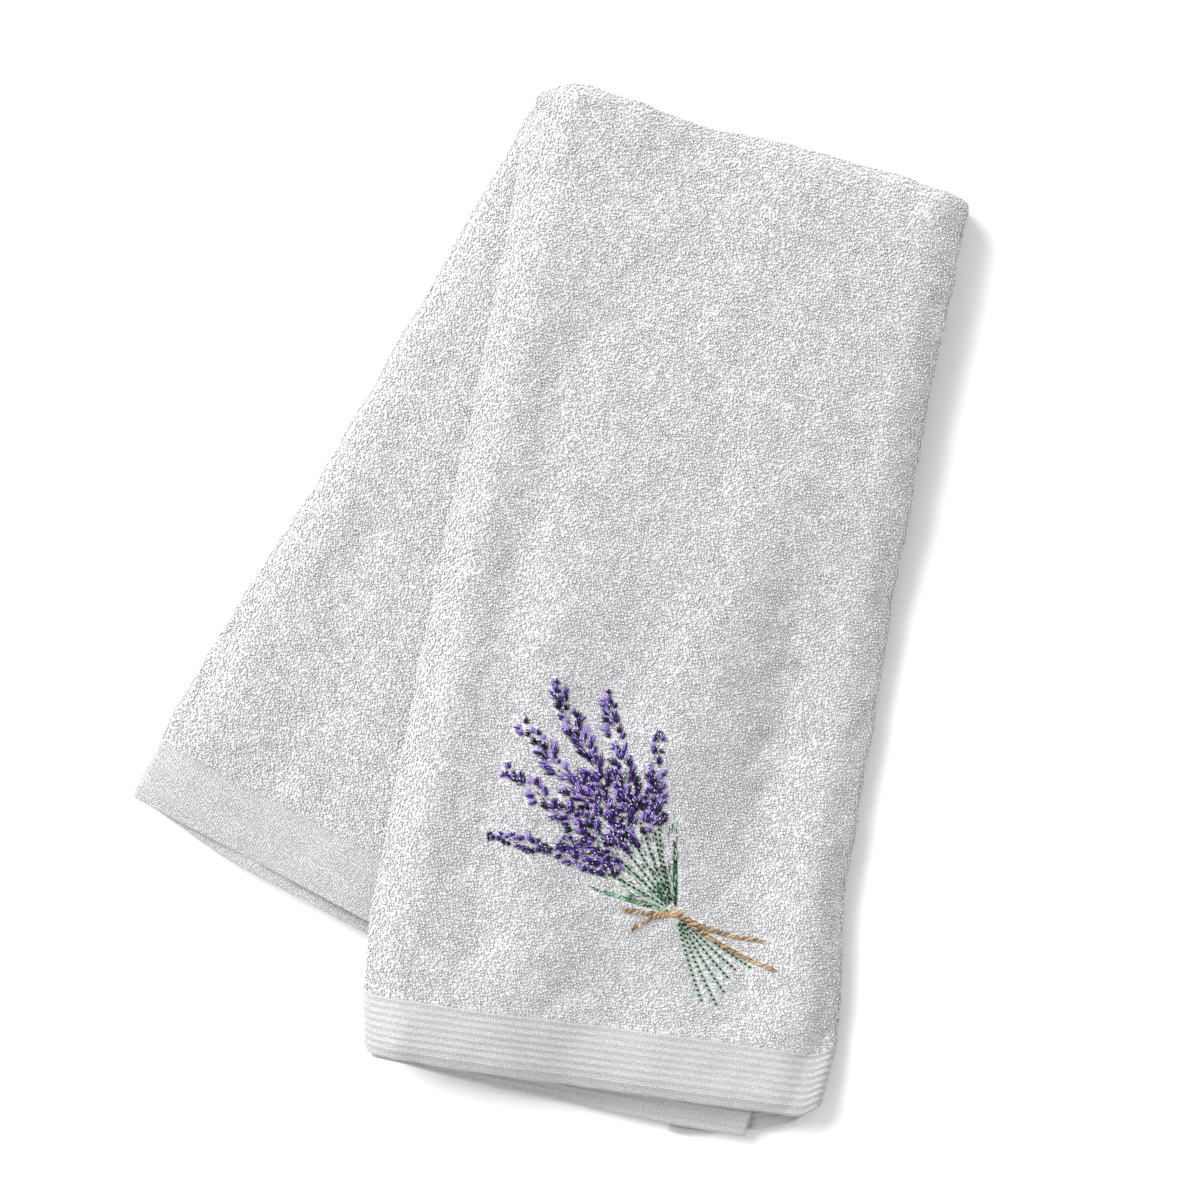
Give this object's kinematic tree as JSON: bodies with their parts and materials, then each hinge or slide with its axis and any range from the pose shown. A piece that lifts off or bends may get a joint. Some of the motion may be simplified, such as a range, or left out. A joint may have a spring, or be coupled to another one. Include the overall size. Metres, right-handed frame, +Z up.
{
  "type": "hand towel",
  "caption": "White terry hand towel folded lengthwise and crosswise, its back half fanned out under the front half, with a ribbed hem band and an embroidered flower bunch.",
  "frame": {"origin": "middle of the folded towel's footprint, on the surface that it lies on", "axes": "+Z up from the surface, +Y towards the crosswise fold, +X towards the front half's right-hand fold"},
  "size_m": [0.3532, 0.4433, 0.0315],
  "materials": {
    "terry": "white cotton terry with looped pile on both faces and flat-woven hem bands"
  },
  "bodies": {
    "root": {"towel_cloth": "terry"}
  },
  "joints": []
}
